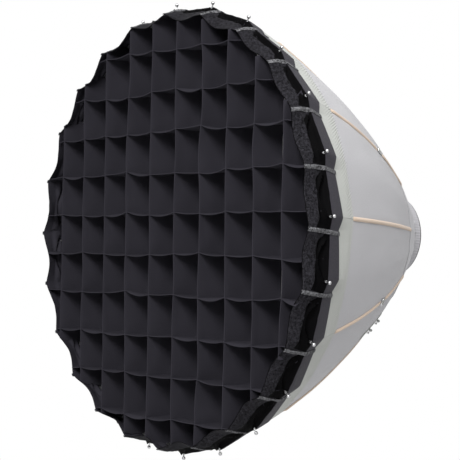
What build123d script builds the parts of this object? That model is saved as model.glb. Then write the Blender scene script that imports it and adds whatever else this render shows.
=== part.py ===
"""Deep 24-rib umbrella softbox with a fabric egg-crate grid, a turning hub and a bayonet insert.

The light axis is Y. The front faces -Y, the light fastens at +Y and +Z is up. The origin is on the
axis, in the plane where the light's front ring seats. Distances called "s" run rearward from the
plane of the rib tips.
"""

from build123d import *
import os
from math import cos, sin, radians, sqrt, atan2, degrees

# overall form of the shell, mm
RIBS = 24  # ribs round the hub
RIB_TURN = 3.0  # degrees from +X to the first rib
BALL_R = 640.0  # radius of the circle through the tip balls
RIM_R = BALL_R - 11.0  # outside of the fabric over a rib, at the tips
REAR_S = 748.0  # depth of the rear profile point
MID_S = REAR_S / 2  # depth of the middle profile point
MID_R = BALL_R * 0.709375  # and its radius
REAR_R = 186.0  # radius of the rear profile point
CONE_S = REAR_S - 98.0  # seam between the panels and the rear cone
HEM_S = 8.0  # front edge of the panels, just behind the tip pins
CLOTH = 0.8  # laminated shell cloth
SEAM = 0.5  # half of the gap between two panels

# ribs
ROD_R = 2.0
ROD_GAP = 4.3  # from the outside of the cloth to the rod's centre
BALL = 5.0  # radius of a tip ball
NECK_R = 2.0
FERRULE_R = 3.4
KNUCKLE_R = 6.0
ARM_L = 22.0
ARM_H = 9.0
ROD_START = 9.0  # from the hinge to the rod's end inside the arm

# hub
HINGE_R = 112.0  # circle of the rib hinges
PIN_R = 2.0
PIN_L = 22.0
RUN = 0.05  # radial clearance of a running fit
SIDE = 0.3  # clearance beside a moving part
SLOT_W = 8.0
RING_IN = 92.0
RING_OUT = 126.0
RING_FRONT = 10.0  # hub ring ahead of the hinge circle
RING_REAR = 12.0  # and behind it
SLOT_IN = 100.0
SLOT_FLOOR = 4.0
FLANGE = 4.0
NECK_WALL = 14.0
NECK_L = 21.0
INSERT_R = 84.0  # bore of the neck
STEP = 6.0  # inward step that stops the insert
INSERT_T = 15.7
CLIP_T = 2.0
CLIP_W = 5.0
GROOVE = 1.5
SCREWS = 12
SCREW_R = 2.0
SCREW_L = 12.0
SCREW_CIRCLE = 119.0
HEAD_R = 3.6
HEAD_T = 2.5
KNOB_SHAFT = 3.0
KNOB_R = 11.0
KNOB_T = 18.0
KNOB_GAP = 3.0

# bayonet for the light
BORE_R = 45.5
COLLAR_R = BORE_R + 3.5
COLLAR_L = 14.0
LUG_R = BORE_R + 7.0
LUG_T = 4.0
LUG_ARC = 34.0

# front set
LIP_S = -68.0  # front edge of the skirt
LIP_R = RIM_R - 10.0  # its corners
SKIRT_REAR = 45.0
SKIRT_GAP = 0.6
SLIT = 7.0  # open slit in the skirt for a tip pin
PITCH = (BALL_R - 67.0) / 5.0  # grid strips
STRIPS = 10
STRIP = 0.8
STRIP_DEPTH = 100.0
STRIP_FRONT = -66.0
GRID_DROP = 11.0  # the crossing strips hang this much below the middle
GRID_FRONT_R = LIP_R - 11.0
GRID_REAR_R = RIM_R - 37.0
SCREEN_S = 37.0
SCREEN_R = GRID_REAR_R
SCREEN_T = 0.5

# hardware on the shell
TABS = {1: 3, 2: 11, 3: 15, 4: 23}  # tab number to rib number
TAB_S = CONE_S - 225.0
TAB_W = 12.0
TAB_L = 26.0
TAB_T = 1.6
WIRE = 1.5
LOOP_R = 10.0
PULL_RIB = 22
PULL_S = (CONE_S - 214.0, CONE_S - 158.0)
PULL_L = 24.0
EYE_LIFT = 5.2  # slider's cross bar above the cloth
EYE_R = 1.0
HARDWARE_LIFT = 0.4

# derived: the arc of the cloth in the plane of a rib, as (s, r)


def circle_through(a, b, c):
    """Centre and radius of the circle through three points of the (s, r) plane."""
    d = 2 * (a[0] * (b[1] - c[1]) + b[0] * (c[1] - a[1]) + c[0] * (a[1] - b[1]))
    qa, qb, qc = (p[0] ** 2 + p[1] ** 2 for p in (a, b, c))
    s = (qa * (b[1] - c[1]) + qb * (c[1] - a[1]) + qc * (a[1] - b[1])) / d
    r = (qa * (c[0] - b[0]) + qb * (a[0] - c[0]) + qc * (b[0] - a[0])) / d
    return s, r, sqrt((a[0] - s) ** 2 + (a[1] - r) ** 2)


ARC_S, ARC_R, ARC = circle_through((0, RIM_R), (MID_S, MID_R), (REAR_S, REAR_R))
ROD_ARC = ARC - ROD_GAP


def cloth_r(s):
    """Radius of the outside of the cloth over a rib."""
    return ARC_R + sqrt(ARC**2 - (s - ARC_S) ** 2)


def rod_at(r):
    """Depth at which the rod's centre line has radius r."""
    return ARC_S + sqrt(ROD_ARC**2 - (r - ARC_R) ** 2)


HINGE_S = rod_at(HINGE_R)
SEAT_S = HINGE_S + RING_REAR + FLANGE + SIDE + INSERT_T  # the origin's plane
TIP_R = ARC_R + sqrt(ROD_ARC**2 - ARC_S**2)  # rod centre at the tip


def y(s):
    """Frame Y of depth s."""
    return s - SEAT_S


def turned(shape, angle):
    """The shape built on +X, turned to an angle from +X toward +Z."""
    return shape.rotate(Axis.Y, -angle)


def rib_angle(number):
    return RIB_TURN + 360 / RIBS * (number - 1)


def rod_point(angle):
    """Point of the rod's centre line, by its angle on the arc."""
    return (ARC_R + ROD_ARC * cos(angle), y(ARC_S + ROD_ARC * sin(angle)), 0)


def disc(radius, s0, s1, hole=0.0):
    """Ring or disc on the axis between two depths."""
    blank = Cylinder(radius, s1 - s0)
    if hole:
        blank -= Cylinder(hole, s1 - s0)
    return Pos(0, y((s0 + s1) / 2), 0) * Rot(90, 0, 0) * blank


def bar(radius, start, end):
    """Round bar between two points."""
    line = Line(start, end)
    return sweep(Plane(origin=line @ 0, z_dir=line % 0) * Circle(radius), path=line)


def sheet(rows):
    """Closed faceted solid through outlines that each lie in a plane across the axis."""
    return loft([make_face(Polyline(*row, close=True)) for row in rows], ruled=True)


def corner(radius, angle, s):
    return (radius * cos(radians(angle)), y(s), radius * sin(radians(angle)))


def polygon(radius, turn, s):
    return [corner(radius, turn + 360 / RIBS * k, s) for k in range(RIBS)]


def band(stations, thickness):
    """Many-sided tube of cloth through (s, outer radius, turn) stations."""
    outer = sheet([polygon(r, turn, s) for s, r, turn in stations])
    inner = sheet([polygon(r - thickness, turn, s) for s, r, turn in stations])
    return outer - inner


def rib():
    """Knuckle, rod and ball-headed tip pin of one rib, on +X."""
    a0 = atan2(HINGE_S - ARC_S, HINGE_R - ARC_R)
    a1 = atan2(-ARC_S, TIP_R - ARC_R)
    step = ROD_START / ROD_ARC
    path = ThreePointArc(
        rod_point(a0 - step), rod_point((a0 + a1) / 2), rod_point(a1)
    )
    rod = sweep(Plane(origin=path @ 0, z_dir=path % 0) * Circle(ROD_R), path=path)
    tip = rod_point(a1)
    low, high = (TIP_R - FERRULE_R, tip[1], 0), (TIP_R + FERRULE_R, tip[1], 0)
    ball = Pos(BALL_R, tip[1], 0) * Rot(0, 90, 0) * Sphere(BALL)
    pin = bar(FERRULE_R, low, high) + bar(NECK_R, tip, (BALL_R, tip[1], 0)) + ball
    lean = degrees(atan2((path % 0).Y, (path % 0).X))
    arm = Pos(ARM_L / 2, 0, 0) * Box(ARM_L, ARM_H, SLOT_W - 2 * SIDE)
    knuckle = Cylinder(KNUCKLE_R, SLOT_W - 2 * SIDE) + arm
    knuckle -= Cylinder(PIN_R + RUN, SLOT_W)
    knuckle = Pos(HINGE_R, y(HINGE_S), 0) * Rot(0, 0, lean) * knuckle
    return [knuckle - rod, rod - pin, pin]


def hub_ring():
    """Slotted ring that holds the rib hinges."""
    ring = disc(RING_OUT, HINGE_S - RING_FRONT, HINGE_S + RING_REAR, RING_IN)
    front = HINGE_S - RING_FRONT - 1
    floor = HINGE_S + RING_REAR - SLOT_FLOOR
    wide = RING_OUT - SLOT_IN + 2
    slot = Pos(SLOT_IN + wide / 2, y((front + floor) / 2), 0) * Box(
        wide, floor - front, SLOT_W
    )
    hole = Pos(HINGE_R, y(HINGE_S), 0) * Cylinder(PIN_R, PIN_L)
    cuts = [turned(slot + hole, rib_angle(n)) for n in range(1, RIBS + 1)]
    screw = screw_shank()
    cuts += [turned(screw, screw_angle(n)) for n in range(SCREWS)]
    return ring - cuts


def screw_angle(n):
    return RIB_TURN + 180 / RIBS + 360 / SCREWS * n


def screw_shank():
    top = HINGE_S + RING_REAR + FLANGE
    return bar(SCREW_R, (SCREW_CIRCLE, y(top), 0), (SCREW_CIRCLE, y(top - SCREW_L), 0))


def screw():
    top = HINGE_S + RING_REAR + FLANGE
    head = bar(HEAD_R, (SCREW_CIRCLE, y(top), 0), (SCREW_CIRCLE, y(top + HEAD_T), 0))
    socket = Pos(SCREW_CIRCLE, y(top + HEAD_T), 0) * Rot(90, 0, 0) * extrude(
        RegularPolygon(SCREW_R * 0.9, 6), 1.3, both=True
    )
    return screw_shank() + head - socket


def knob_place():
    """Angle and depth of the lock knob."""
    return screw_angle(2) + 360 / RIBS, HINGE_S + RING_REAR + FLANGE + NECK_L * 0.6


def hub_collar():
    """Flange and neck that carry the insert and close the hinge ring."""
    low = HINGE_S + RING_REAR
    high = low + FLANGE + NECK_L
    body = disc(RING_OUT, low, low + FLANGE, INSERT_R - STEP)
    body += disc(INSERT_R + NECK_WALL, low + FLANGE, high, INSERT_R)
    body -= clip_blank(0)
    body -= [turned(screw_shank(), screw_angle(n)) for n in range(SCREWS)]
    angle, s = knob_place()
    hole = bar(KNOB_SHAFT + RUN, (INSERT_R - 1, y(s), 0), (INSERT_R + 20, y(s), 0))
    return body - turned(hole, angle)


def clip_blank(clear):
    s0 = SEAT_S + SIDE
    return disc(
        INSERT_R + GROOVE - clear, s0 + clear, s0 + CLIP_T - clear, INSERT_R - CLIP_W
    )


def retaining_ring():
    gap = Pos(-INSERT_R, y(SEAT_S), 0) * Box(30, 20, 12)
    return clip_blank(0.02) - gap


def lock_knob():
    angle, s = knob_place()
    start = INSERT_R + 0.4
    seat = INSERT_R + NECK_WALL + KNOB_GAP
    shaft = bar(KNOB_SHAFT, (start, y(s), 0), (seat + 1, y(s), 0))
    head = bar(KNOB_R, (seat, y(s), 0), (seat + KNOB_T, y(s), 0))
    for n in range(12):
        turn = radians(30 * n)
        at = (y(s) + KNOB_R * cos(turn), KNOB_R * sin(turn))
        head -= bar(1.4, (seat + 3, *at), (seat + KNOB_T + 1, *at))
    return turned(shaft + head, angle)


def mount_insert():
    """Bayonet insert: a disc that turns in the neck, its collar and three lugs."""
    front = SEAT_S - INSERT_T
    body = disc(INSERT_R - RUN, front, SEAT_S, BORE_R)
    body += disc(COLLAR_R, SEAT_S, SEAT_S + COLLAR_L, BORE_R)
    end = SEAT_S + COLLAR_L
    ring = disc(LUG_R, end - LUG_T, end, BORE_R + 1)
    half = LUG_ARC / 2
    wedge = [(0, 0)] + [
        (80 * cos(radians(a)), 80 * sin(radians(a))) for a in (-half, 0, half)
    ]
    sector = Rot(90, 0, 0) * extrude(make_face(Polyline(*wedge, close=True)), 60, both=True)
    for n in range(3):
        body += ring & turned(sector, 90 + 120 * n)
    return body


def hinge_pins():
    pin = Pos(HINGE_R, y(HINGE_S), 0) * Cylinder(PIN_R, PIN_L)
    return [turned(pin, rib_angle(n)) for n in range(1, RIBS + 1)]


def panel():
    """Double-width cloth panel over one rib on +X, out to its two neighbours."""
    depths = [HEM_S, SKIRT_REAR]
    count = 7
    last = CONE_S - SEAM
    depths += [SKIRT_REAR + (last - SKIRT_REAR) * n / count for n in range(1, count + 1)]
    rows = []
    for s in depths:
        out = cloth_r(s)
        edge = 360 / RIBS - degrees(SEAM / out)
        row = [corner(out, a, s) for a in (-edge, 0, edge)]
        row += [corner(out - CLOTH, a, s) for a in (edge, 0, -edge)]
        rows.append(row)
    return sheet(rows)


def rear_cone():
    """Cloth that closes the rear from the panel seam to the hub."""
    neck_r = RING_OUT + 5
    reach = ARC_S + sqrt(ARC**2 - (neck_r + 3 - ARC_R) ** 2)
    first = CONE_S + SEAM
    stations = []
    for n in range(5):
        s = first + (reach - first) * n / 4
        stations.append((s, cloth_r(s), RIB_TURN))
    stations.append((HINGE_S + RING_REAR - 1, neck_r, RIB_TURN))
    return band(stations, CLOTH)


def skirt():
    """Front band round the rim, slit for the tip pins."""
    stations = [
        (SKIRT_REAR, cloth_r(SKIRT_REAR) + SKIRT_GAP + CLOTH, RIB_TURN),
        (0.0, cloth_r(0) + SKIRT_GAP + CLOTH, RIB_TURN),
        (LIP_S, LIP_R, 0.0),
    ]
    body = band(stations, CLOTH)
    front = -SLIT / 2
    slit = Pos(RIM_R, y((front + SKIRT_REAR + 5) / 2), 0) * Box(
        60, SKIRT_REAR + 5 - front, SLIT
    )
    return body - [turned(slit, rib_angle(n)) for n in range(1, RIBS + 1)]


def offsets(drop=0.0):
    return [PITCH * (n - (STRIPS - 1) / 2) - drop for n in range(STRIPS)]


def strips(slot_side, places, crossings):
    """Upright grid strips at places in X, slotted from one side for strips at crossings in Z."""
    middle = y(STRIP_FRONT + STRIP_DEPTH / 2)
    taper = Pos(0, middle, 0) * Rot(90, 0, 0) * Cone(
        GRID_REAR_R, GRID_FRONT_R, STRIP_DEPTH
    )
    made = []
    for x in places:
        length = 2 * sqrt(GRID_FRONT_R**2 - x**2)
        strip = Pos(x, middle, 0) * Box(STRIP, STRIP_DEPTH, length)
        cut = STRIP_DEPTH / 2 + SIDE
        cuts = [
            Pos(x, middle + slot_side * (STRIP_DEPTH / 2 - cut / 2 + SIDE), z)
            * Box(4, cut + SIDE, STRIP + 2 * SIDE)
            for z in crossings
            if abs(z) < length / 2
        ]
        made.append((strip - cuts) & taper)
    return made


def screen():
    return sheet(
        [polygon(SCREEN_R, RIB_TURN, SCREEN_S), polygon(SCREEN_R, RIB_TURN, SCREEN_S + SCREEN_T)]
    )


def on_shell(shape, s, lift):
    """Place a shape on the outside of the cloth on +X: its X along the slope toward the rear, Y out."""
    angle = atan2(s - ARC_S, cloth_r(s) - ARC_R)
    r = ARC_R + (ARC + lift) * cos(angle)
    at = y(ARC_S + (ARC + lift) * sin(angle))
    plane = Plane(origin=(r, at, 0), x_dir=(-sin(angle), cos(angle), 0), z_dir=(0, 0, -1))
    return plane * shape


def tie_tab():
    """Webbing tab with the tunnel its ring turns in."""
    flat = Pos(TAB_L / 2, TAB_T / 2, 0) * Box(TAB_L, TAB_T, TAB_W)
    tunnel = Pos(0, WIRE + RUN + TAB_T, 0) * Cylinder(WIRE + RUN + TAB_T, TAB_W)
    body = flat + tunnel
    body -= Pos(0, WIRE + RUN + TAB_T, 0) * Cylinder(WIRE + RUN, TAB_W + 2)
    return on_shell(body, TAB_S, HARDWARE_LIFT)


def tie_ring():
    """D-shaped wire ring, lying forward along the shell."""
    bar_half = Cylinder(WIRE, 2 * LOOP_R)
    bow = Rot(90, 0, 0) * Torus(LOOP_R, WIRE)
    bow &= Pos(-LOOP_R, 0, 0) * Box(2 * LOOP_R, 30, 40)
    ends = Pos(0, 0, LOOP_R) * Sphere(WIRE) + Pos(0, 0, -LOOP_R) * Sphere(WIRE)
    ring = Pos(0, WIRE + RUN + TAB_T, 0) * (bar_half + bow + ends)
    return on_shell(ring, TAB_S, HARDWARE_LIFT)


def zip_sliders():
    """Two small sliders on the vent zip, each with a cross bar for its pull."""
    made = []
    for s in PULL_S:
        foot = Pos(0, 1.5, 0) * Box(12, 3, 8)
        ears = Pos(0, 5, 0) * Box(5, 5, 8) - Pos(0, 5.5, 0) * Box(6, 7, 5)
        pin = Pos(0, EYE_LIFT, 0) * Cylinder(EYE_R, 7)
        made.append(turned(on_shell(foot + ears + pin, s, HARDWARE_LIFT), rib_angle(PULL_RIB)))
    return made


def zip_pull(s):
    """Hanging pull: an eye on the slider's bar and a moulded grip."""
    body = Cylinder(1.9, 4) + Pos(5, 0, 0) * Box(8, 1.6, 3)
    body += Pos(12, 0, 0) * Box(8, 2.4, 4)
    body += Pos(PULL_L - 8, 0, 0) * Cylinder(4.6, 4)
    body = Pos(0, EYE_LIFT, 0) * (body - Cylinder(EYE_R + RUN, 5))
    return turned(on_shell(body, s, HARDWARE_LIFT), rib_angle(PULL_RIB))


def save(name, shapes):
    """Write one node; a list of shapes becomes a group of separate solids."""
    found = shapes if isinstance(shapes, list) else [shapes]
    solids = [solid for shape in found for solid in shape.solids()]
    whole = solids[0] if len(solids) == 1 else Compound(children=solids)
    export_step(whole, f"parts/{name}.step")


def main():
    os.makedirs("parts", exist_ok=True)
    one_rib = rib()
    for n in range(1, RIBS + 1):
        save(f"rib_{n:02d}", [turned(piece, rib_angle(n)) for piece in one_rib])
    one_panel = panel()
    for n in range(1, RIBS // 2 + 1):
        save(f"panel_{n:02d}", turned(one_panel, rib_angle(2 * n)))
    save("rear_cone", rear_cone())
    save("hub_ring", hub_ring())
    save("hub_collar", hub_collar())
    save("hub_screws", [turned(screw(), screw_angle(n)) for n in range(SCREWS)])
    save("hinge_pins", hinge_pins())
    save("retaining_ring", retaining_ring())
    save("lock_knob", lock_knob())
    save("mount_insert", mount_insert())
    save("skirt", skirt())
    save("grid_uprights", strips(1, offsets(), offsets(GRID_DROP)))
    turned_places = [-z for z in offsets(GRID_DROP)]
    crossers = strips(-1, turned_places, offsets())
    save("grid_crossers", [piece.rotate(Axis.Y, 90) for piece in crossers])
    save("front_screen", screen())
    for number, rib_number in TABS.items():
        save(f"tie_tab_{number}", turned(tie_tab(), rib_angle(rib_number)))
        save(f"tie_ring_{number}", turned(tie_ring(), rib_angle(rib_number)))
    save("zip_sliders", zip_sliders())
    for number, s in enumerate(PULL_S, 1):
        save(f"zip_pull_{number}", zip_pull(s))


main()
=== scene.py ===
"""Looks of a deep umbrella softbox with a fabric egg-crate grid, laid out as a Blender add-on.

The light axis is Y and the open front faces -Y. Depths called "depth" run rearward from the plane
of the rib tips, in metres.
"""

import math

import bpy
from mathutils import Matrix, Vector, noise


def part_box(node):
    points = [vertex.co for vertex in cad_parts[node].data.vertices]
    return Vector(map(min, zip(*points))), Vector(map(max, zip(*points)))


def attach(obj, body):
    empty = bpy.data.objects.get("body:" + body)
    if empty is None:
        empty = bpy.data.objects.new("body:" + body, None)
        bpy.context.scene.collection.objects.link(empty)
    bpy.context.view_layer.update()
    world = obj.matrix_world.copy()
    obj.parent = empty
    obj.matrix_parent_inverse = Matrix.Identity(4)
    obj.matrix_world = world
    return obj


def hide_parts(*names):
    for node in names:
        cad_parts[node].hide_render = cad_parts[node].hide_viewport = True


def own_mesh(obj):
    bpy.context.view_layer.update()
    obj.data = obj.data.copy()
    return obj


bl_info = {
    "name": "Umbrella softbox looks",
    "version": (1, 0, 0),
    "blender": (4, 5, 0),
    "location": "View3D > Sidebar > Softbox",
    "description": "Cloth, grid, trim and finishes for a folding umbrella softbox",
    "category": "Object",
}

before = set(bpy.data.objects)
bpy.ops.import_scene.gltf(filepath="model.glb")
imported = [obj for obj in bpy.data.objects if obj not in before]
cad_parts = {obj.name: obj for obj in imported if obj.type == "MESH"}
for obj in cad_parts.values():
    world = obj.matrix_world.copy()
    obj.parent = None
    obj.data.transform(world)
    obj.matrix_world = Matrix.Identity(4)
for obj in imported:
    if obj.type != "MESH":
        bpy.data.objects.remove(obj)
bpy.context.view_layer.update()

RIBS = 24
STEP = math.tau / RIBS
RIB_TURN = math.radians(3)
BALL = 0.005
TIP_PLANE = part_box("rib_01")[0].y + BALL
RING_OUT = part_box("hub_ring")[1].x
CONE_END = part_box("rear_cone")[1].y - TIP_PLANE
TAB_RIBS = (3, 11, 15, 23)
TAB_GAP = (0.417, 0.453)  # depths between which the piping leaves room for a tab
ZIP_RIB = 22
ZIP_RUN = (0.392, 0.540)  # depths between which the zip runs
PANEL_MIDDLE = RIB_TURN + STEP  # rib 2: every panel and gore is modelled over it
SEAM_GAP = 0.0004  # angle left free at each long edge of a panel


class ShellSettings(bpy.types.PropertyGroup):
    rim_radius: bpy.props.FloatProperty(
        name="Rim radius", description="Outside of the cloth over a rib, at the tips",
        default=0.629, unit="LENGTH")
    middle_depth: bpy.props.FloatProperty(
        name="Middle depth", description="Depth of the profile's middle point",
        default=0.374, unit="LENGTH")
    middle_radius: bpy.props.FloatProperty(
        name="Middle radius", description="Radius at the middle point",
        default=0.454, unit="LENGTH")
    rear_depth: bpy.props.FloatProperty(
        name="Rear depth", description="Depth of the profile's rear point",
        default=0.748, unit="LENGTH")
    rear_radius: bpy.props.FloatProperty(
        name="Rear radius", description="Radius at the rear point",
        default=0.186, unit="LENGTH")
    seam_depth: bpy.props.FloatProperty(
        name="Cone seam", description="Seam between the panels and the rear cone",
        default=0.650, unit="LENGTH")
    cloth: bpy.props.FloatProperty(
        name="Cloth", description="Thickness of the shell cloth", default=0.0009, unit="LENGTH")
    pull_in: bpy.props.FloatProperty(
        name="Pull-in", description="How far taut cloth draws in between two ribs",
        default=0.0012, unit="LENGTH")
    hem: bpy.props.FloatProperty(
        name="Hem", description="Depth of the hem seam at the piped ribs",
        default=0.122, unit="LENGTH")
    hem_rise: bpy.props.FloatProperty(
        name="Hem curve", description="How much nearer the rim the seam is between piped ribs",
        default=0.012, unit="LENGTH")
    outer: bpy.props.FloatVectorProperty(
        name="Outer colour", description="Outside of the shell cloth", subtype="COLOR",
        default=(0.41, 0.405, 0.425), min=0, max=1)
    hem_colour: bpy.props.FloatVectorProperty(
        name="Hem colour", description="Doubled cloth of the hem band", subtype="COLOR",
        default=(0.375, 0.385, 0.362), min=0, max=1)
    lining: bpy.props.FloatVectorProperty(
        name="Lining colour", description="Silver inside of the cloth", subtype="COLOR",
        default=(0.72, 0.72, 0.73), min=0, max=1)
    piping: bpy.props.FloatVectorProperty(
        name="Piping colour", description="Folded strip on the seams", subtype="COLOR",
        default=(0.56, 0.43, 0.325), min=0, max=1)
    piping_width: bpy.props.FloatProperty(
        name="Piping width", description="Width of the folded strip over a piped rib",
        default=0.0115, unit="LENGTH")


class BandSettings(bpy.types.PropertyGroup):
    lip_depth: bpy.props.FloatProperty(
        name="Lip depth", description="Front edge of the band at its corners",
        default=-0.068, unit="LENGTH")
    lip_radius: bpy.props.FloatProperty(
        name="Lip radius", description="Radius of the front corners", default=0.619, unit="LENGTH")
    rear_depth: bpy.props.FloatProperty(
        name="Rear depth", description="Rear edge of the band", default=0.060, unit="LENGTH")
    scallop: bpy.props.FloatProperty(
        name="Scallop", description="How far the front edge draws inward between corners",
        default=0.019, unit="LENGTH")
    set_back: bpy.props.FloatProperty(
        name="Set back", description="How far the front edge draws back between corners",
        default=0.004, unit="LENGTH")
    tape_width: bpy.props.FloatProperty(
        name="Tape width", description="Width of the loop tape", default=0.034, unit="LENGTH")
    strap_pull: bpy.props.FloatProperty(
        name="Strap pull", description="How far a strap draws the rear edge forward",
        default=0.011, unit="LENGTH")
    hollow: bpy.props.FloatProperty(
        name="Hollow", description="How deep the cloth sinks between the straps",
        default=0.013, unit="LENGTH")
    colour: bpy.props.FloatVectorProperty(
        name="Cloth colour", description="Matte black cloth", subtype="COLOR",
        default=(0.0013, 0.0012, 0.0015), min=0, max=1)
    tape: bpy.props.FloatVectorProperty(
        name="Tape colour", description="Fuzzy loop tape", subtype="COLOR",
        default=(0.0085, 0.0082, 0.0098), min=0, max=1)
    edging: bpy.props.FloatVectorProperty(
        name="Edging colour", description="Binding on the rear edge", subtype="COLOR",
        default=(0.034, 0.032, 0.040), min=0, max=1)


class GridSettings(bpy.types.PropertyGroup):
    pitch: bpy.props.FloatProperty(
        name="Pitch", description="Distance between strips", default=0.1146, unit="LENGTH")
    strips: bpy.props.IntProperty(
        name="Strips", description="Strips each way", default=10, min=2)
    front: bpy.props.FloatProperty(
        name="Front", description="Front edge of the strips", default=-0.066, unit="LENGTH")
    depth: bpy.props.FloatProperty(
        name="Depth", description="Depth of the strips", default=0.100, unit="LENGTH")
    drop: bpy.props.FloatProperty(
        name="Drop", description="How far the crossing strips hang below the middle",
        default=0.011, unit="LENGTH")
    sag: bpy.props.FloatProperty(
        name="Sag", description="Sag of a crossing strip within one cell",
        default=0.0055, unit="LENGTH")
    colour: bpy.props.FloatVectorProperty(
        name="Colour", description="Black grid cloth", subtype="COLOR",
        default=(0.031, 0.0295, 0.037), min=0, max=1)


class StageSettings(bpy.types.PropertyGroup):
    floor: bpy.props.FloatProperty(
        name="Floor", description="Height of the floor", default=-1.6, unit="LENGTH")
    floor_radius: bpy.props.FloatProperty(
        name="Floor radius", description="Radius of the round floor", default=6.2, unit="LENGTH")
    sky: bpy.props.FloatProperty(
        name="Room light", description="Strength of the light from overhead", default=0.85)
    low_sky: bpy.props.FloatProperty(
        name="Low room light", description="Strength of the light from below", default=0.12)
    key: bpy.props.FloatProperty(
        name="Key light", description="Light from the front, right and above",
        default=300.0, unit="POWER")
    top: bpy.props.FloatProperty(
        name="Top light", description="Light from above and behind on the right",
        default=50.0, unit="POWER")


def settings(name):
    return getattr(bpy.context.scene, name)


# ---------------------------------------------------------------- shape of the cloth


def arc_of(shell):
    """Centre and radius of the cloth's arc in the plane of a rib."""
    points = ((0, shell.rim_radius), (shell.middle_depth, shell.middle_radius),
              (shell.rear_depth, shell.rear_radius))
    a, b, c = points
    twice = 2 * (a[0] * (b[1] - c[1]) + b[0] * (c[1] - a[1]) + c[0] * (a[1] - b[1]))
    squares = [p[0] ** 2 + p[1] ** 2 for p in points]
    depth = (squares[0] * (b[1] - c[1]) + squares[1] * (c[1] - a[1])
             + squares[2] * (a[1] - b[1])) / twice
    radius = (squares[0] * (c[0] - b[0]) + squares[1] * (a[0] - c[0])
              + squares[2] * (b[0] - a[0])) / twice
    return depth, radius, math.hypot(a[0] - depth, a[1] - radius)


def cloth_radius(depth):
    """Radius of the outside of the cloth over a rib."""
    centre, height, arc = arc_of(settings("softbox_shell"))
    return height + math.sqrt(arc * arc - (depth - centre) ** 2)


def facet(radius, off, turn=STEP):
    """Radius of a straight-sided outline at an angle from the middle of one side."""
    return radius * math.cos(turn / 2) / math.cos(off)


def cell(angle, first):
    """(place from 0 to 1 between two corners, angle from the middle) of an outline's side."""
    share = ((angle - first) / STEP) % 1.0
    return share, (share - 0.5) * STEP


def point(radius, angle, depth):
    return Vector((radius * math.cos(angle), depth + TIP_PLANE, radius * math.sin(angle)))


def rise(value, low, high):
    """Smooth step from 0 at low to 1 at high."""
    share = min(1.0, max(0.0, (value - low) / (high - low)))
    return share * share * (3 - 2 * share)


def strap_share(angle):
    """1 at a corner strap, 0 at a tip pin, straight lines between."""
    share = cell(angle, 0.0)[0]
    pin = RIB_TURN / STEP
    return 1 - share / pin if share < pin else (share - pin) / (1 - pin)


def strap_dip(angle, depth):
    """How far a corner strap presses the rim cloth inward."""
    near = (1 - rise(depth, 0.04, 0.12)) * rise(depth, -0.05, 0.0)
    return 0.006 * strap_share(angle) ** 1.5 * near


def shell_point(angle, depth, lift=0.0):
    """Point on the taut shell cloth."""
    shell = settings("softbox_shell")
    share, off = cell(angle, RIB_TURN)
    pull = shell.pull_in * rise(depth, 0.03, 0.22) * math.sin(math.pi * share) ** 1.5
    pull *= 1 - rise(depth, shell.seam_depth, CONE_END)
    pull += strap_dip(angle, depth)
    wave = noise.noise(Vector((angle * 9.0, depth * 11.0, 0.3))) * 0.0014 * rise(depth, 0.05, 0.2)
    radius = cloth_radius(depth)
    flat = facet(radius, off)
    full = (radius - flat) * roundness(angle, share) * rise(depth, 0.05, 0.11)
    return point(flat + full - pull + wave + lift, angle, depth)


def roundness(angle, share):
    """Share of round in a panel: most beside the rib in its middle, least at its seams."""
    even = int((angle - RIB_TURN) // STEP) % 2
    away = share if even else 1 - share
    return 0.9 - 0.35 * away


def hem_depth(angle):
    """Depth of the hem seam, nearer the rim at the ribs without piping."""
    shell = settings("softbox_shell")
    way = (angle - RIB_TURN) / (2 * STEP)
    return shell.hem - shell.hem_rise * math.sin(math.pi * (way % 1.0))


# ---------------------------------------------------------------- modelling helpers


def deselect():
    if bpy.context.object and bpy.context.object.mode != "OBJECT":
        bpy.ops.object.mode_set(mode="OBJECT")
    bpy.ops.object.select_all(action="DESELECT")


def activate(piece):
    deselect()
    piece.select_set(True)
    bpy.context.view_layer.objects.active = piece


def apply_modifier(piece, kind, **values):
    activate(piece)
    modifier = piece.modifiers.new(kind.title(), kind)
    for key, value in values.items():
        setattr(modifier, key, value)
    bpy.ops.object.modifier_apply(modifier=modifier.name)


def smooth(piece, degrees=50):
    activate(piece)
    bpy.ops.object.shade_smooth_by_angle(angle=math.radians(degrees))


def cloth_piece(name, columns, rows, place, flat, materials, thickness=0.0, weld=False):
    """A sheet of cloth: a grid laid out flat, shaped point by point and given its thickness."""
    deselect()
    bpy.ops.mesh.primitive_grid_add(x_subdivisions=columns, y_subdivisions=rows, size=2)
    piece = bpy.context.object
    piece.name = name
    piece.data.name = name
    for layer in piece.data.uv_layers:
        for corner in layer.data:
            corner.uv = (corner.uv[0] * flat[0], corner.uv[1] * flat[1])
    for vertex in piece.data.vertices:
        vertex.co = place((vertex.co.x + 1) / 2, (vertex.co.y + 1) / 2)
    for material in materials:
        piece.data.materials.append(material)
    if weld:
        activate(piece)
        bpy.ops.object.mode_set(mode="EDIT")
        bpy.ops.mesh.select_all(action="SELECT")
        bpy.ops.mesh.remove_doubles(threshold=1e-5)
        bpy.ops.object.mode_set(mode="OBJECT")
    if thickness:
        apply_modifier(piece, "SOLIDIFY", thickness=thickness, offset=-1.0,
                       material_offset=len(materials) - 1 if len(materials) == 2 else 0)
    smooth(piece)
    return piece


def turned_copy(piece, name, angle):
    """A copy with its own mesh, turned about the light axis from +X toward +Z."""
    copy = piece.copy()
    copy.data = piece.data.copy()
    copy.name = copy.data.name = name
    copy.data.transform(Matrix.Rotation(-angle, 4, "Y"))
    bpy.context.scene.collection.objects.link(copy)
    return copy


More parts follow.
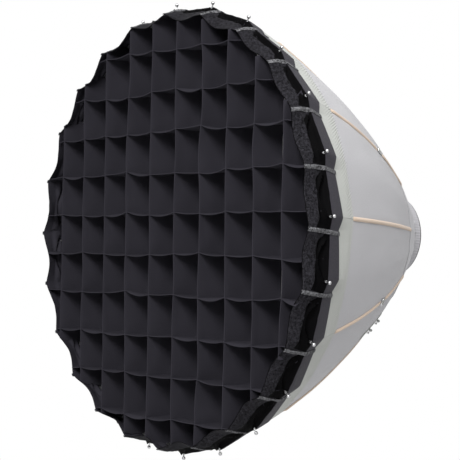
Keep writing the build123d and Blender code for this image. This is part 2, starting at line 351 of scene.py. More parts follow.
def join(pieces, name):
    """Make several pieces one, under a new name."""
    deselect()
    for piece in pieces:
        piece.select_set(True)
    bpy.context.view_layer.objects.active = pieces[0]
    bpy.ops.object.join()
    joined = bpy.context.object
    joined.name = joined.data.name = name
    return joined


def drop(piece):
    bpy.data.objects.remove(piece, do_unlink=True)


def rib_angle(number):
    return RIB_TURN + STEP * (number - 1)


# ---------------------------------------------------------------- materials


class Nodes:
    """Short way to add and link shader nodes."""

    def __init__(self, name):
        self.material = bpy.data.materials.new(name)
        self.material.use_nodes = True
        self.tree = self.material.node_tree
        self.shader = self.tree.nodes["Principled BSDF"]

    def add(self, kind, **values):
        node = self.tree.nodes.new("ShaderNode" + kind)
        for key, value in values.items():
            if hasattr(node, key):
                setattr(node, key, value)
            else:
                node.inputs[key.replace("_", " ")].default_value = value
        return node

    def link(self, out, into):
        self.tree.links.new(out, into)

    def put(self, name, value):
        self.shader.inputs[name].default_value = value

    def math(self, kind, first, second=None, clamp=False):
        node = self.add("Math", operation=kind)
        node.use_clamp = clamp
        for slot, value in enumerate((first, second)):
            if value is None:
                continue
            if isinstance(value, (int, float)):
                node.inputs[slot].default_value = value
            else:
                self.link(value, node.inputs[slot])
        return node.outputs[0]

    def mix(self, factor, first, second):
        node = self.add("Mix", data_type="RGBA")
        if isinstance(factor, (int, float)):
            node.inputs[0].default_value = factor
        else:
            self.link(factor, node.inputs[0])
        for slot, value in ((6, first), (7, second)):
            if isinstance(value, bpy.types.NodeSocket):
                self.link(value, node.inputs[slot])
            else:
                node.inputs[slot].default_value = (*value, 1.0)
        return node.outputs[2]

    def coordinates(self, uv):
        source = self.add("TexCoord")
        return source.outputs["UV" if uv else "Object"]

    def noise(self, where, scale, detail=3.0, rough=0.5):
        node = self.add("TexNoise", Scale=scale, Detail=detail, Roughness=rough)
        self.link(where, node.inputs["Vector"])
        return node.outputs["Fac"]

    def ramp(self, value, low, high, to_low=0.0, to_high=1.0):
        node = self.add("MapRange")
        node.clamp = True
        node.inputs["From Min"].default_value = low
        node.inputs["From Max"].default_value = high
        node.inputs["To Min"].default_value = to_low
        node.inputs["To Max"].default_value = to_high
        self.link(value, node.inputs["Value"])
        return node.outputs["Result"]

    def bump(self, height, strength, distance):
        node = self.add("Bump", Strength=strength, Distance=distance)
        self.link(height, node.inputs["Height"])
        self.link(node.outputs[0], self.shader.inputs["Normal"])


def shade(colour, by):
    return tuple(min(1.0, c * by) for c in colour)


def weave_height(nodes, axes, pitch):
    """Height of a plain weave: threads over and under each other."""
    across, along = axes
    k = math.tau / pitch
    a = nodes.math("SINE", nodes.math("MULTIPLY", across, k))
    b = nodes.math("SINE", nodes.math("MULTIPLY", along, k))
    return nodes.math("MULTIPLY", a, b)


def cloth_material(name, colour, pitch, roughness, uv=True, sheen=0.3, bump=0.25, contrast=0.16,
                   blotch=0.12, gloss=0.2):
    """Woven cloth: crossing threads, slubs, slow colour drift and a soft sheen."""
    nodes = Nodes(name)
    where = nodes.coordinates(uv)
    split = nodes.add("SeparateXYZ")
    nodes.link(where, split.inputs[0])
    axes = split.outputs[:2] if uv else (split.outputs[0], split.outputs[2])
    weave = weave_height(nodes, axes, pitch)
    slub = nodes.noise(where, 260.0, 2.0)
    drift = nodes.noise(nodes.coordinates(False), 5.0, 3.0)
    base = nodes.mix(nodes.ramp(weave, -1, 1), shade(colour, 1 - contrast),
                     shade(colour, 1 + contrast))
    base = nodes.mix(nodes.ramp(drift, 0.3, 0.7, 0.0, blotch * 2), base, shade(colour, 0.72))
    nodes.link(base, nodes.shader.inputs["Base Color"])
    height = nodes.math("ADD", weave, nodes.math("MULTIPLY", slub, 0.8))
    nodes.bump(height, bump, pitch * 0.35)
    nodes.put("Roughness", roughness)
    nodes.put("Sheen Weight", sheen)
    nodes.put("Sheen Roughness", 0.5)
    nodes.put("Specular IOR Level", gloss)
    return nodes.material


def shell_material():
    """Grey shell cloth with the doubled hem band, its zigzag seam and the puckers beside it, with
    painted shade along the puckers.
    """
    shell = settings("softbox_shell")
    colour, hem_colour = tuple(shell.outer), tuple(shell.hem_colour)
    nodes = Nodes("shell_cloth")
    uv = nodes.coordinates(True)
    split = nodes.add("SeparateXYZ")
    nodes.link(uv, split.inputs[0])
    across, along = split.outputs[:2]
    seam = nodes.add("Attribute", attribute_name="seam").outputs["Fac"]
    weave = weave_height(nodes, (across, along), 0.0016)
    drift = nodes.noise(nodes.coordinates(False), 4.0, 4.0)
    cloth = nodes.mix(nodes.ramp(weave, -1, 1), shade(colour, 0.93), shade(colour, 1.07))
    cloth = nodes.mix(nodes.ramp(drift, 0.3, 0.7, 0.0, 0.5), cloth, shade(colour, 0.90))
    doubled = nodes.mix(nodes.ramp(weave, -1, 1), shade(hem_colour, 0.92), shade(hem_colour, 1.08))
    cloth = nodes.mix(nodes.ramp(seam, -0.0006, 0.0006, 1.0, 0.0), cloth, doubled)
    # zigzag stitching just inside the seam
    saw = nodes.math("PINGPONG", across, 0.003)
    path = nodes.math("ADD", nodes.math("MULTIPLY", saw, 1.3), -0.007)
    near = nodes.math("ABSOLUTE", nodes.math("SUBTRACT", seam, path))
    stitch = nodes.ramp(near, 0.0003, 0.0009, 1.0, 0.0)
    cloth = nodes.mix(nodes.math("MULTIPLY", stitch, 0.5), cloth, (0.70, 0.70, 0.70))
    # puckers lean across the hem and die out past the seam; besides their bump they get painted
    # shade in the cloth's colour
    fade = nodes.math("MULTIPLY", nodes.ramp(seam, -0.045, -0.012),
                      nodes.ramp(seam, 0.0, 0.014, 1, 0))
    lean = nodes.math("ADD", across, nodes.math("MULTIPLY", along, 0.5))
    wander = nodes.math("MULTIPLY", nodes.noise(uv, 18.0, 2.0), 0.012)
    ripple = nodes.math("SINE", nodes.math("MULTIPLY", nodes.math("ADD", lean, wander), 700.0))
    pucker = nodes.math("MULTIPLY", nodes.math("MULTIPLY", ripple, fade), 2.4)
    # painted shade: the colour darkens with the ripple, standing in for the shade in the puckers'
    # folds
    tone = nodes.ramp(nodes.math("MULTIPLY", ripple, fade), -1.0, 1.0, 0.0, 0.16)
    cloth = nodes.mix(tone, cloth, shade(hem_colour, 0.55))
    nodes.link(cloth, nodes.shader.inputs["Base Color"])
    height = nodes.math("ADD", nodes.math("MULTIPLY", weave, 0.35), pucker)
    height = nodes.math("ADD", height, nodes.math("MULTIPLY", stitch, 0.8))
    nodes.bump(height, 0.45, 0.0006)
    nodes.put("Roughness", 0.58)
    nodes.put("Sheen Weight", 0.2)
    nodes.put("Specular IOR Level", 0.35)
    return nodes.material


def lining_material():
    """Silver-coated lining with a fine crinkle."""
    nodes = Nodes("silver_lining")
    where = nodes.coordinates(False)
    crinkle = nodes.noise(where, 60.0, 4.0)
    tone = nodes.mix(nodes.ramp(nodes.noise(where, 9.0), 0.3, 0.7),
                     shade(tuple(settings("softbox_shell").lining), 0.9),
                     tuple(settings("softbox_shell").lining))
    nodes.link(tone, nodes.shader.inputs["Base Color"])
    nodes.bump(crinkle, 0.35, 0.0006)
    nodes.put("Metallic", 0.85)
    nodes.put("Roughness", 0.38)
    return nodes.material


def tape_material(name, colour, uv=False):
    """Fuzzy loop tape: light loops over a dark ground."""
    nodes = Nodes(name)
    where = nodes.coordinates(uv)
    loops = nodes.noise(where, 560.0, 2.0, 0.7)
    clumps = nodes.noise(where, 150.0, 3.0)
    both = nodes.math("ADD", nodes.math("MULTIPLY", loops, 0.65),
                      nodes.math("MULTIPLY", clumps, 0.35))
    base = nodes.mix(nodes.ramp(both, 0.42, 0.60), shade(colour, 0.2), shade(colour, 3.4))
    nodes.link(base, nodes.shader.inputs["Base Color"])
    nodes.bump(both, 0.8, 0.0012)
    nodes.put("Roughness", 0.95)
    nodes.put("Sheen Weight", 0.045)
    nodes.put("Sheen Roughness", 0.35)
    nodes.put("Specular IOR Level", 0.05)
    return nodes.material


def metal_material(name, colour, roughness, scratch=0.15, grain=90.0, stretch=(1, 1, 1)):
    """Turned or drawn metal with faint draw marks and handling wear."""
    nodes = Nodes(name)
    turn = nodes.add("Mapping")
    turn.inputs["Scale"].default_value = stretch
    nodes.link(nodes.coordinates(False), turn.inputs["Vector"])
    marks = nodes.noise(turn.outputs[0], grain, 5.0, 0.6)
    wear = nodes.noise(turn.outputs[0], grain * 0.2, 3.0)
    base = nodes.mix(nodes.ramp(wear, 0.35, 0.7), shade(colour, 0.86), colour)
    nodes.link(base, nodes.shader.inputs["Base Color"])
    nodes.link(nodes.ramp(marks, 0.3, 0.7, roughness * 0.75, roughness * 1.3),
               nodes.shader.inputs["Roughness"])
    nodes.bump(marks, scratch, 0.0001)
    nodes.put("Metallic", 1.0)
    return nodes.material


def anodised_material(name, colour):
    """Black anodised alloy with a fine bead-blast grain and paler rubbed spots."""
    nodes = Nodes(name)
    where = nodes.coordinates(False)
    grain = nodes.noise(where, 900.0, 2.0)
    rub = nodes.noise(where, 45.0, 4.0, 0.6)
    base = nodes.mix(nodes.ramp(rub, 0.60, 0.78), colour, shade(colour, 2.4))
    nodes.link(base, nodes.shader.inputs["Base Color"])
    nodes.bump(grain, 0.2, 0.00012)
    nodes.put("Metallic", 0.75)
    nodes.put("Roughness", 0.42)
    return nodes.material


def plastic_material(name, colour):
    """Moulded plastic with a spark-eroded texture and polished high spots."""
    nodes = Nodes(name)
    where = nodes.coordinates(False)
    grain = nodes.noise(where, 700.0, 2.0)
    polish = nodes.noise(where, 60.0, 3.0)
    base = nodes.mix(nodes.ramp(polish, 0.35, 0.7), shade(colour, 0.8), shade(colour, 1.25))
    nodes.link(base, nodes.shader.inputs["Base Color"])
    nodes.link(nodes.ramp(polish, 0.3, 0.75, 0.55, 0.4), nodes.shader.inputs["Roughness"])
    nodes.bump(grain, 0.3, 0.00015)
    return nodes.material


def screen_material():
    """Translucent white diffusion cloth."""
    nodes = Nodes("screen_cloth")
    uv = nodes.coordinates(True)
    split = nodes.add("SeparateXYZ")
    nodes.link(uv, split.inputs[0])
    weave = weave_height(nodes, split.outputs[:2], 0.0012)
    base = nodes.mix(nodes.ramp(weave, -1, 1), (0.76, 0.76, 0.75), (0.84, 0.84, 0.83))
    nodes.link(base, nodes.shader.inputs["Base Color"])
    nodes.bump(weave, 0.15, 0.0003)
    nodes.put("Roughness", 0.8)
    nodes.put("Sheen Weight", 0.2)
    return nodes.material


MATERIALS = {}


def material(name):
    """Each finish is made once, when it is first asked for."""
    if name not in MATERIALS:
        MATERIALS[name] = RECIPES[name]()
    return MATERIALS[name]


RECIPES = {
    "shell": shell_material,
    "lining": lining_material,
    "screen": screen_material,
    "cone": lambda: cloth_material("cone_cloth", tuple(settings("softbox_shell").outer), 0.0016,
                                   0.62, sheen=0.25, bump=0.2, contrast=0.07, blotch=0.08),
    "piping": lambda: cloth_material("piping_cloth", tuple(settings("softbox_shell").piping),
                                     0.0012, 0.6, uv=False, contrast=0.25, blotch=0.1),
    "band": lambda: cloth_material("band_cloth", tuple(settings("softbox_band").colour), 0.0016,
                                   0.6, sheen=0.0, contrast=0.3, gloss=0.03),
    "grid": lambda: cloth_material("grid_cloth", tuple(settings("softbox_grid").colour), 0.0016,
                                   0.8, sheen=0.0, contrast=0.16, gloss=0.04),
    "tape": lambda: tape_material("loop_tape", tuple(settings("softbox_band").tape)),
    "edging": lambda: cloth_material("edging_tape", tuple(settings("softbox_band").edging),
                                     0.0022, 0.6, sheen=0.02, contrast=0.3, gloss=0.15),
    "strap": lambda: tape_material("corner_strap", (0.055, 0.055, 0.058)),
    "zip": lambda: cloth_material("zip_tape", (0.27, 0.28, 0.26), 0.0014, 0.7, sheen=0.02,
                                  contrast=0.3),
    "webbing": lambda: cloth_material("grey_webbing", (0.30, 0.31, 0.28), 0.0024, 0.75, uv=False,
                                      contrast=0.3, bump=0.6),
    "rod": lambda: metal_material("spring_rod", (0.60, 0.60, 0.61), 0.30, stretch=(1, 0.05, 1)),
    "bright": lambda: metal_material("plated_steel", (0.80, 0.80, 0.81), 0.14, scratch=0.05),
    "turned": lambda: metal_material("turned_alloy", (0.66, 0.66, 0.67), 0.32,
                                     stretch=(0.1, 6, 0.1)),
    "anodised": lambda: anodised_material("black_anodised", (0.035, 0.035, 0.038)),
    "plastic": lambda: plastic_material("black_plastic", (0.022, 0.022, 0.024)),
    "grip": lambda: plastic_material("grip_plastic", (0.30, 0.31, 0.30)),
}


def finish_node(node, name):
    """Give a carried-over frame part its finish."""
    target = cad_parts[node]
    target.data.materials.clear()
    target.data.materials.append(material(name))


# ---------------------------------------------------------------- operators


class SOFTBOX_OT_shell_panels(bpy.types.Operator):
    """Twelve double-width cloth panels, each over its middle rib"""

    bl_idname = "softbox.shell_panels"
    bl_label = "Shell panels"

    def execute(self, context):
        shell = settings("softbox_shell")
        start, end = 0.006, shell.seam_depth
        hem_share = 0.24
        slices = 40

        def depth_at(share, angle=PANEL_MIDDLE):
            seam = hem_depth(angle) + 0.004
            if share < hem_share:
                return start + (seam - start) * share / hem_share
            return seam + (end - seam) * (share - hem_share) / (1 - hem_share)

        def place(across, along):
            angle = PANEL_MIDDLE + (0.5 - across) * 2 * (STEP - SEAM_GAP)
            depth = depth_at(along, angle)
            seam = hem_depth(angle)
            step = 0.0009 * (1 - rise(depth, seam - 0.003, seam))
            pucker = rise(depth, seam - 0.035, seam - 0.002) * (1 - rise(depth, seam, seam + 0.010))
            ripple = 0.0005 * pucker * math.sin((angle * shell.rim_radius + depth * 0.5) * 700)
            return shell_point(angle, depth, step + ripple)

        width = 2 * STEP * shell.rim_radius
        line = [shell_point(PANEL_MIDDLE, depth_at(n / slices)) for n in range(slices + 1)]
        length = sum((b - a).length for a, b in zip(line, line[1:]))
        middles = [cloth_radius(depth_at((n + 0.5) / slices)) for n in range(slices)]
        model = cloth_piece("panel_model", 140, 70, place, (width, length),
                            (material("shell"), material("lining")), shell.cloth)
        self.seam_distance(model)
        for number in range(1, RIBS // 2 + 1):
            rib = 2 * number
            angle = rib_angle(rib)
            piece = turned_copy(model, f"shell_panel_{number:02d}", angle - PANEL_MIDDLE)
            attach(piece, f"rib_{rib:02d}")
            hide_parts(f"panel_{number:02d}")
            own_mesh(piece)
        drop(model)
        return {"FINISHED"}

    def seam_distance(self, model):
        """Store how far each point lies behind the hem seam, for the stitching."""
        store = model.data.attributes.new("seam", "FLOAT", "POINT")
        for vertex, slot in zip(model.data.vertices, store.data):
            angle = math.atan2(vertex.co.z, vertex.co.x)
            slot.value = vertex.co.y - TIP_PLANE - hem_depth(angle)


class SOFTBOX_OT_rear_cone(bpy.types.Operator):
    """Twelve cone gores that close the rear onto the hub"""

    bl_idname = "softbox.rear_cone"
    bl_label = "Rear cone"

    def execute(self, context):
        shell = settings("softbox_shell")
        start, end = shell.seam_depth - 0.010, CONE_END
        neck = RING_OUT + 0.002
        last = end - 0.016

        def place(across, along):
            depth = start + (end - start) * along
            angle = PANEL_MIDDLE + (0.5 - across) * 2 * (STEP - 2 * SEAM_GAP)
            lift = 0.0016 * (1 - rise(depth, shell.seam_depth + 0.004, shell.seam_depth + 0.007))
            taut = shell_point(angle, min(depth, last), lift)
            radius = math.hypot(taut.x, taut.z)
            gather = rise(depth, last - 0.050, end)
            frill = 0.0006 * gather * math.sin(angle * 96)
            return point(radius + (neck - radius) * gather + frill, angle, depth)

        width = 2 * STEP * cloth_radius(start)
        model = cloth_piece("gore_model", 48, 34, place, (width, end - start),
                            (material("cone"), material("lining")), shell.cloth)
        for number in range(1, RIBS // 2 + 1):
            rib = 2 * number
            angle = rib_angle(rib)
            piece = turned_copy(model, f"rear_gore_{number:02d}", angle - PANEL_MIDDLE)
            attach(piece, f"rib_{rib:02d}")
            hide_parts("rear_cone")
            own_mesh(piece)
        drop(model)
        return {"FINISHED"}


class SOFTBOX_OT_piping(bpy.types.Operator):
    """Folded strip over every second rib, where two panels meet"""

    bl_idname = "softbox.piping"
    bl_label = "Piping"

    def execute(self, context):
        shell = settings("softbox_shell")
        first, last = shell.hem - 0.001, shell.seam_depth + 0.004
        whole = self.strip("piping_model", shell, first, last)
        parts = [self.strip("piping_front", shell, first, TAB_GAP[0]),
                 self.strip("piping_back", shell, TAB_GAP[1], last)]
        split = join(parts, "piping_split_model")
        for rib in range(1, RIBS, 2):
            angle = rib_angle(rib)
            model = split if rib in TAB_RIBS else whole
            piece = turned_copy(model, f"piping_{rib:02d}", angle - RIB_TURN)
            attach(piece, f"rib_{rib:02d}")
        drop(whole)
        drop(split)
        return {"FINISHED"}

    def strip(self, name, shell, first, last):
        """Folded strip along a rib, rounded over and turned in at its long edges."""
        def place(across, along):
            depth = first + (last - first) * along
            side = (0.5 - across) * shell.piping_width / cloth_radius(depth)
            tip = rise(min(along, 1 - along) * (last - first), 0.0, 0.004)
            lift = 0.0006 + 0.0040 * tip * math.sin(math.pi * across) ** 0.6
            return shell_point(RIB_TURN + side, depth, lift)

        rows = max(12, int((last - first) / 0.012))
        return cloth_piece(name, 8, rows, place, (shell.piping_width, last - first),
                           (material("piping"),), 0.0010)


class SOFTBOX_OT_vent_zip(bpy.types.Operator):
    """Zip tape with its coil, under the two sliders"""

    bl_idname = "softbox.vent_zip"
    bl_label = "Vent zip"

    def execute(self, context):
        first, last = ZIP_RUN
        width = 0.024
        coil = 0.0026

        def place(across, along):
            depth = first + (last - first) * along
            side = (0.5 - across) * width
            ridge = max(0.0, 1 - (side / coil) ** 2) ** 0.5
            tooth = 0.75 + 0.25 * math.sin((depth - first) * math.tau / 0.0025)
            edge = 1 - rise(abs(side), width / 2 - 0.001, width / 2)
            lift = 0.0002 + 0.0004 * edge + 0.0011 * ridge * tooth
            return shell_point(PANEL_MIDDLE + side / cloth_radius(depth), depth, lift)

        piece = cloth_piece("zip_tape", 24, 236, place, (width, last - first),
                            (material("zip"),), 0.0003)
        piece.data.transform(Matrix.Rotation(PANEL_MIDDLE - rib_angle(ZIP_RIB), 4, "Y"))
        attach(piece, f"rib_{ZIP_RIB}")
        return {"FINISHED"}


def band_radius(angle, depth):
    """Radius of the band's outside before folds: rib corners at the rear, lip corners in front."""
    band = settings("softbox_band")
    share, off = cell(angle, RIB_TURN)
    rear = facet(cloth_radius(max(depth, 0.0)) + 0.0018, off) - strap_dip(angle, depth)
    if depth >= 0:
        return rear
    share, off = cell(angle, 0.0)
    wander = 1 + 0.35 * noise.noise(Vector((math.floor(angle / STEP) * 2.1, 0.5, 2.0)))
    scallop = band.scallop * wander * math.sin(math.pi * share ** 1.25) ** 1.35
    blend = min(1.0, depth / band.lip_depth)
    return rear * (1 - blend) + (facet(band.lip_radius, off) - scallop) * blend


def lip_depth(angle):
    """Depth of the scalloped front edge, slacker on the upper right."""
    band = settings("softbox_band")
    turn = math.degrees(angle + math.pi) % 360 - 180
    slack = 0.013 * math.exp(-((turn - 45) / 24) ** 2)
    return band.lip_depth + slack + band.set_back * math.sin(math.pi * cell(angle, 0.0)[0])


def rear_edge(angle):
    """Depth of the rear edge, drawn forward at each strap."""
    band = settings("softbox_band")
    return band.rear_depth - band.strap_pull * strap_share(angle)


def band_fold(angle, depth):
    """Hollows and soft folds of the band between its straps."""
    band = settings("softbox_band")
    if not band.lip_depth < depth < 0.006:
        return 0.0
    share = cell(angle, 0.0)[0]
    seed = math.floor(angle / STEP) * 3.7
    belly = math.sin(math.pi * share)
    front = lip_depth(angle) + band.tape_width
    inside = rise(depth, front - 0.006, front + 0.012) * (1 - rise(depth, -0.006, 0.005))
    size = 1 + 0.3 * noise.noise(Vector((seed, 0.4, 1.0)))
    along = min(1.0, max(0.0, (share - 0.1) / 0.85))
    ridge_at = 0.001 - 0.027 * size * math.sin(math.pi * along)
    ridge = math.exp(-((depth - ridge_at) / 0.0048) ** 2) * rise(belly, 0.15, 0.6)
    hollow = -band.hollow * size * belly ** 0.6 * inside
    crumple = 0.0016 * noise.noise(Vector((angle * 34, depth * 70, 0))) * belly
    return hollow + 0.0125 * ridge * inside + crumple


def droop(angle, depth):
    """How far the soft front of the band sags below its even place."""
    front = rise(-depth, 0.0, 0.07)
    return front * (0.012 * math.sin(angle) + 0.005 * (1 - math.cos(angle)))


def band_point(angle, depth, lift=0.0):
    at = point(band_radius(angle, depth) + band_fold(angle, depth) + lift, angle, depth)
    return at - Vector((0, 0, droop(angle, depth)))


class SOFTBOX_OT_front_band(bpy.types.Operator):
    """Black band round the rim, with its loop tape, corner straps and rear edging"""

    bl_idname = "softbox.front_band"
    bl_label = "Front band"

    def execute(self, context):
        band = settings("softbox_band")
        around = RIBS * 20

        def strip(name, near, far, rows, lift, finishes, thickness, tuck=0.0):
            def place(across, along):
                angle = (0.5 - across) * math.tau
                low, high = near(angle), far(angle)
                edge = tuck * max(0.0, 1 - min(along, 1 - along) * rows)
                return band_point(angle, low + (high - low) * along, lift - edge)

            return cloth_piece(name, around, rows, place, (math.tau * band.lip_radius, 0.1),
                               [material(name) for name in finishes], thickness, weld=True)

        def tape_end(angle):
            share = cell(angle, 0.0)[0]
            fuzz = 0.003 * noise.noise(Vector((angle * 60, 0.0, 7.0)))
            spread = 0.026 * rise(share, 0.80, 0.95) - 0.010 * (1 - rise(share, 0.02, 0.2))
            return lip_depth(angle) + band.tape_width + spread + fuzz

        body = strip("front_band", lip_depth, rear_edge, 44, 0.0, ("band", "grid"), 0.0010)
        tape = strip("band_loop_tape", lambda a: lip_depth(a) + 0.0012, tape_end, 10, 0.0013,
                     ("tape",), 0.0013, 0.0010)
        edge = strip("band_edging", lambda a: 0.0045, lambda a: rear_edge(a) + 0.0008, 8, 0.0012,
                     ("edging",), 0.0014, 0.0009)
        straps = self.straps()
        for piece in (body, tape, edge, straps):
            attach(piece, "front_set")
        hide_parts("skirt")
        return {"FINISHED"}

    def straps(self):
        """Folded straps from each front corner back to the rear edge, leaning a little."""
        wide = 0.0180  # as an angle
        twist = 0.017
        made = []
        for number in range(RIBS):
            middle = number * STEP
            lean = 0.006 * noise.noise(Vector((number * 1.3, 2.0, 0.5)))

            def place(across, along, middle=middle, lean=lean):
                angle = middle + (0.5 - across) * wide + lean * (1 - along) - twist * along
                front = lip_depth(middle) + 0.0003
                depth = front + (rear_edge(middle) + 0.002 - front) * along
                crown = 0.0012 * math.sin(math.pi * across)
                nub = Vector((0, -0.0015 * max(0.0, 1 - along * 24), 0))
                return band_point(angle, depth, 0.0026 + crown) + nub

            made.append(cloth_piece(f"strap_{number}", 6, 24, place, (0.011, 0.112),
                                    (material("strap"),), 0.0014))
        return join(made, "corner_straps")


class SOFTBOX_OT_grid(bpy.types.Operator):
    """Ten upright and ten crossing cloth strips, hemmed in front and a little slack"""

    bl_idname = "softbox.grid"
    bl_label = "Grid"

    def execute(self, context):
        grid = settings("softbox_grid")
        count = grid.strips
        for number in range(count):
            offset = grid.pitch * (number - (count - 1) / 2)
            self.strip(grid, number, offset, True)
            self.strip(grid, number, offset - grid.drop, False)
        return {"FINISHED"}

    def strip(self, grid, number, offset, upright):
        name = f"grid_{'upright' if upright else 'crosser'}_{number + 1:02d}"
        cells = grid.strips

        def reach(depth, side):
            """How far the strip runs to the band at one side."""
            guess = 0.6
            for _ in range(4):
                run = guess * side
                angle = math.atan2(run, offset) if upright else math.atan2(offset, run)
                limit = band_radius(angle, depth) + min(0.0, band_fold(angle, depth)) - 0.0008
                if depth > 0:
                    limit = min(limit, facet(cloth_radius(depth), cell(angle, RIB_TURN)[1]) - 0.009)
                sag = droop(angle, depth)
                limit -= sag * math.sin(angle)
                guess = math.sqrt(max(0.01, limit * limit - offset * offset))
            return guess * side

        def place(across, along):
            depth = grid.front + grid.depth * along
            low, high = reach(depth, -1), reach(depth, 1)
            run = low + (high - low) * across
            base = 0.0 if upright else grid.drop
            cell_place = (run + base) / grid.pitch + (cells - 1) / 2 if upright else (
                run / grid.pitch + (cells - 1) / 2)
            share = cell_place % 1.0
            which = math.floor(cell_place)

            def knot(crossing):
                where = (crossing * 1.7 + 0.3, number * 2.3 + 0.7, 5.0 if upright else 1.0)
                return noise.noise(Vector(where))

            seed = knot(which)
            belly = 4 * share * (1 - share)
            slack = 1 - along
            tilt = (knot(which) * (1 - share) + knot(which + 1) * share) * slack
            flutter = noise.noise(Vector((run * 9, depth * 20, number + (0 if upright else 40))))
            if upright:
                side = belly * 0.0055 * seed + 0.007 * tilt + 0.002 * flutter
                return Vector((offset + side, depth + TIP_PLANE, run))
            edge = abs(across - 0.5) * 2
            high_row = max(0.0, offset / 0.55)
            sag = grid.sag * (0.3 + 0.9 * abs(seed) + 0.9 * high_row * edge)
            roll = 0.006 * belly * max(0.0, 1 - along * 12) * (0.4 + knot(which + 31) * 1.6)
            low_by = -belly * sag * (1.0 - 0.6 * along) + 0.013 * tilt + 0.0012 * flutter - roll
            return Vector((run, depth + TIP_PLANE, offset + low_by))

        length = reach(grid.front, 1) - reach(grid.front, -1)
        columns = max(24, int(length / grid.pitch * 8))
        piece = cloth_piece(name, columns, 12, place, (length, grid.depth),
                            (material("grid"),))
        apply_modifier(piece, "SOLIDIFY", thickness=0.0009, offset=0.0)
        smooth(piece)
        self.hem(piece, grid)
        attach(piece, "front_set")
        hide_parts("grid_uprights" if upright else "grid_crossers")

    def hem(self, piece, grid):
        """Thicken the front few millimetres into a hem by pushing its faces out."""
        limit = grid.front + TIP_PLANE + 0.0095
        mesh = piece.data
        for vertex in mesh.vertices:
            if vertex.co.y < limit:
                vertex.co += vertex.normal * 0.0006


class SOFTBOX_OT_front_screen(bpy.types.Operator):
    """Translucent screen behind the grid"""

    bl_idname = "softbox.front_screen"
    bl_label = "Front screen"

    def execute(self, context):
        low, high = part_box("front_screen")
        radius = high.x - 0.001
        front = low.y

        def place(across, along):
            angle = (0.5 - across) * math.tau
            r = facet(radius, cell(angle, RIB_TURN)[1]) * along
            belly = 0.010 * (1 - along * along)
            return Vector((r * math.cos(angle), front + belly, r * math.sin(angle)))

        piece = cloth_piece("diffusing_screen", 96, 14, place, (1.2, 1.2), (material("screen"),),
                            weld=True)
        for corner in piece.data.loops:
            at = piece.data.vertices[corner.vertex_index].co
            piece.data.uv_layers.active.data[corner.index].uv = (at.x + radius, at.z + radius)
        apply_modifier(piece, "SOLIDIFY", thickness=0.0006, offset=0.0)
        smooth(piece)
        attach(piece, "front_set")
        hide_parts("front_screen")
        return {"FINISHED"}


class SOFTBOX_OT_hub_finishes(bpy.types.Operator):
    """Metal and plastic finishes of the ribs, hub, insert and small hardware"""

    bl_idname = "softbox.hub_finishes"
    bl_label = "Hub and rib finishes"

    def execute(self, context):
        finishes = {
            "hub_ring": "anodised", "hub_collar": "anodised", "mount_insert": "turned",
            "hub_screws": "bright", "hinge_pins": "bright", "retaining_ring": "bright",
            "lock_knob": "plastic", "zip_sliders": "bright",
            "zip_pull_1": "grip", "zip_pull_2": "grip",
        }
        finishes.update({f"rib_{n:02d}": "rod" for n in range(1, RIBS + 1)})
        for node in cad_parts:
            if node.startswith("tie_tab"):
                finishes[node] = "webbing"
            elif node.startswith("tie_ring"):
                finishes[node] = "bright"
        for node, name in finishes.items():
            finish_node(node, name)
        return {"FINISHED"}


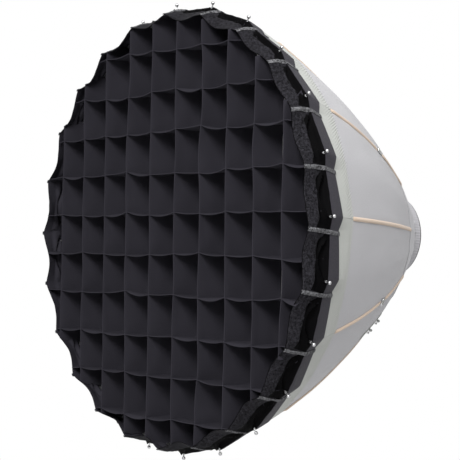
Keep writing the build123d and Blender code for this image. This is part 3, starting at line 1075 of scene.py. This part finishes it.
class SOFTBOX_OT_stage(bpy.types.Operator):
    """Pale floor, soft light and the camera"""

    bl_idname = "softbox.stage"
    bl_label = "Stage"

    def execute(self, context):
        stage = settings("softbox_stage")
        deselect()
        bpy.ops.mesh.primitive_circle_add(vertices=128, radius=stage.floor_radius,
                                          fill_type="NGON", location=(0, 0, stage.floor))
        floor = bpy.context.object
        floor.name = "floor"
        nodes = Nodes("floor_paint")
        tone = nodes.mix(nodes.ramp(nodes.noise(nodes.coordinates(False), 0.6), 0.3, 0.7),
                         (0.66, 0.66, 0.66), (0.70, 0.70, 0.70))
        nodes.link(tone, nodes.shader.inputs["Base Color"])
        nodes.put("Roughness", 0.9)
        floor.data.materials.append(nodes.material)
        context.scene.world = self.room(stage)
        context.scene.view_settings.view_transform = "Standard"
        aim = Vector((0.0, TIP_PLANE, 0.0))
        for name, way, far, size, power in (
            ("key_light", (0.8, -1.0, 0.68), 5.2, 1.9, stage.key),
            ("top_light", (0.75, 0.35, 1.0), 3.6, 1.8, stage.top),
        ):
            light = bpy.data.lights.new(name, "AREA")
            light.size = size
            light.energy = power
            lamp = bpy.data.objects.new(name, light)
            lamp.location = aim + Vector(way).normalized() * far
            lamp.rotation_euler = Vector(way).to_track_quat("Z", "Y").to_euler()
            lamp.visible_camera = False
            context.scene.collection.objects.link(lamp)
        self.camera(context)
        return {"FINISHED"}

    def room(self, stage):
        """White surround that lights more from above than from below."""
        world = bpy.data.worlds.new("white_room")
        world.use_nodes = True
        tree = world.node_tree
        light = tree.nodes["Background"]
        white = tree.nodes.new("ShaderNodeBackground")
        white.inputs["Color"].default_value = (1, 1, 1, 1)
        light.inputs["Color"].default_value = (1, 1, 1, 1)
        way = tree.nodes.new("ShaderNodeTexCoord")
        split = tree.nodes.new("ShaderNodeSeparateXYZ")
        height = tree.nodes.new("ShaderNodeMapRange")
        height.inputs["From Min"].default_value = -0.5
        height.inputs["To Min"].default_value = stage.low_sky
        height.inputs["To Max"].default_value = stage.sky
        path = tree.nodes.new("ShaderNodeLightPath")
        both = tree.nodes.new("ShaderNodeMixShader")
        tree.links.new(way.outputs["Generated"], split.inputs[0])
        tree.links.new(split.outputs["Z"], height.inputs["Value"])
        tree.links.new(height.outputs["Result"], light.inputs["Strength"])
        tree.links.new(path.outputs["Is Camera Ray"], both.inputs[0])
        tree.links.new(light.outputs[0], both.inputs[1])
        tree.links.new(white.outputs[0], both.inputs[2])
        tree.links.new(both.outputs[0], tree.nodes["World Output"].inputs["Surface"])
        return world

    def camera(self, context):
        """Camera in front and to the right, a little below the light axis."""
        data = bpy.data.cameras.new("camera")
        data.lens = 118.96
        data.sensor_width = 36
        camera = bpy.data.objects.new("camera", data)
        right = Vector((0.6251, 0.7805, 0.0159)).normalized()
        up = Vector((0.0010, -0.0211, 0.9998))
        up = (up - right * up.dot(right)).normalized()
        back = right.cross(up)
        place = Matrix((right, up, back)).transposed().to_4x4()
        place.translation = Vector((3.436, -2.571 + TIP_PLANE, -0.058))
        camera.matrix_world = place
        context.scene.collection.objects.link(camera)
        context.scene.camera = camera


class SOFTBOX_PT_panel(bpy.types.Panel):
    """Sidebar panel that lists every piece"""

    bl_idname = "SOFTBOX_PT_panel"
    bl_label = "Umbrella softbox"
    bl_space_type = "VIEW_3D"
    bl_region_type = "UI"
    bl_category = "Softbox"

    def draw(self, context):
        for operator in OPERATORS:
            self.layout.operator(operator.bl_idname)


OPERATORS = (
    SOFTBOX_OT_stage,
    SOFTBOX_OT_shell_panels,
    SOFTBOX_OT_rear_cone,
    SOFTBOX_OT_piping,
    SOFTBOX_OT_vent_zip,
    SOFTBOX_OT_front_band,
    SOFTBOX_OT_grid,
    SOFTBOX_OT_front_screen,
    SOFTBOX_OT_hub_finishes,
)
GROUPS = {
    "softbox_shell": ShellSettings,
    "softbox_band": BandSettings,
    "softbox_grid": GridSettings,
    "softbox_stage": StageSettings,
}


def register():
    for group in GROUPS.values():
        bpy.utils.register_class(group)
    for name, group in GROUPS.items():
        setattr(bpy.types.Scene, name, bpy.props.PointerProperty(type=group))
    for operator in OPERATORS:
        bpy.utils.register_class(operator)
    bpy.utils.register_class(SOFTBOX_PT_panel)


def unregister():
    bpy.utils.unregister_class(SOFTBOX_PT_panel)
    for operator in reversed(OPERATORS):
        bpy.utils.unregister_class(operator)
    for name in GROUPS:
        delattr(bpy.types.Scene, name)
    for group in GROUPS.values():
        bpy.utils.unregister_class(group)


def main():
    register()
    for operator in OPERATORS:
        family, name = operator.bl_idname.split(".")
        if getattr(getattr(bpy.ops, family), name)() != {"FINISHED"}:
            raise RuntimeError(f"{operator.bl_label} did not finish")


if __name__ == "__main__":
    main()
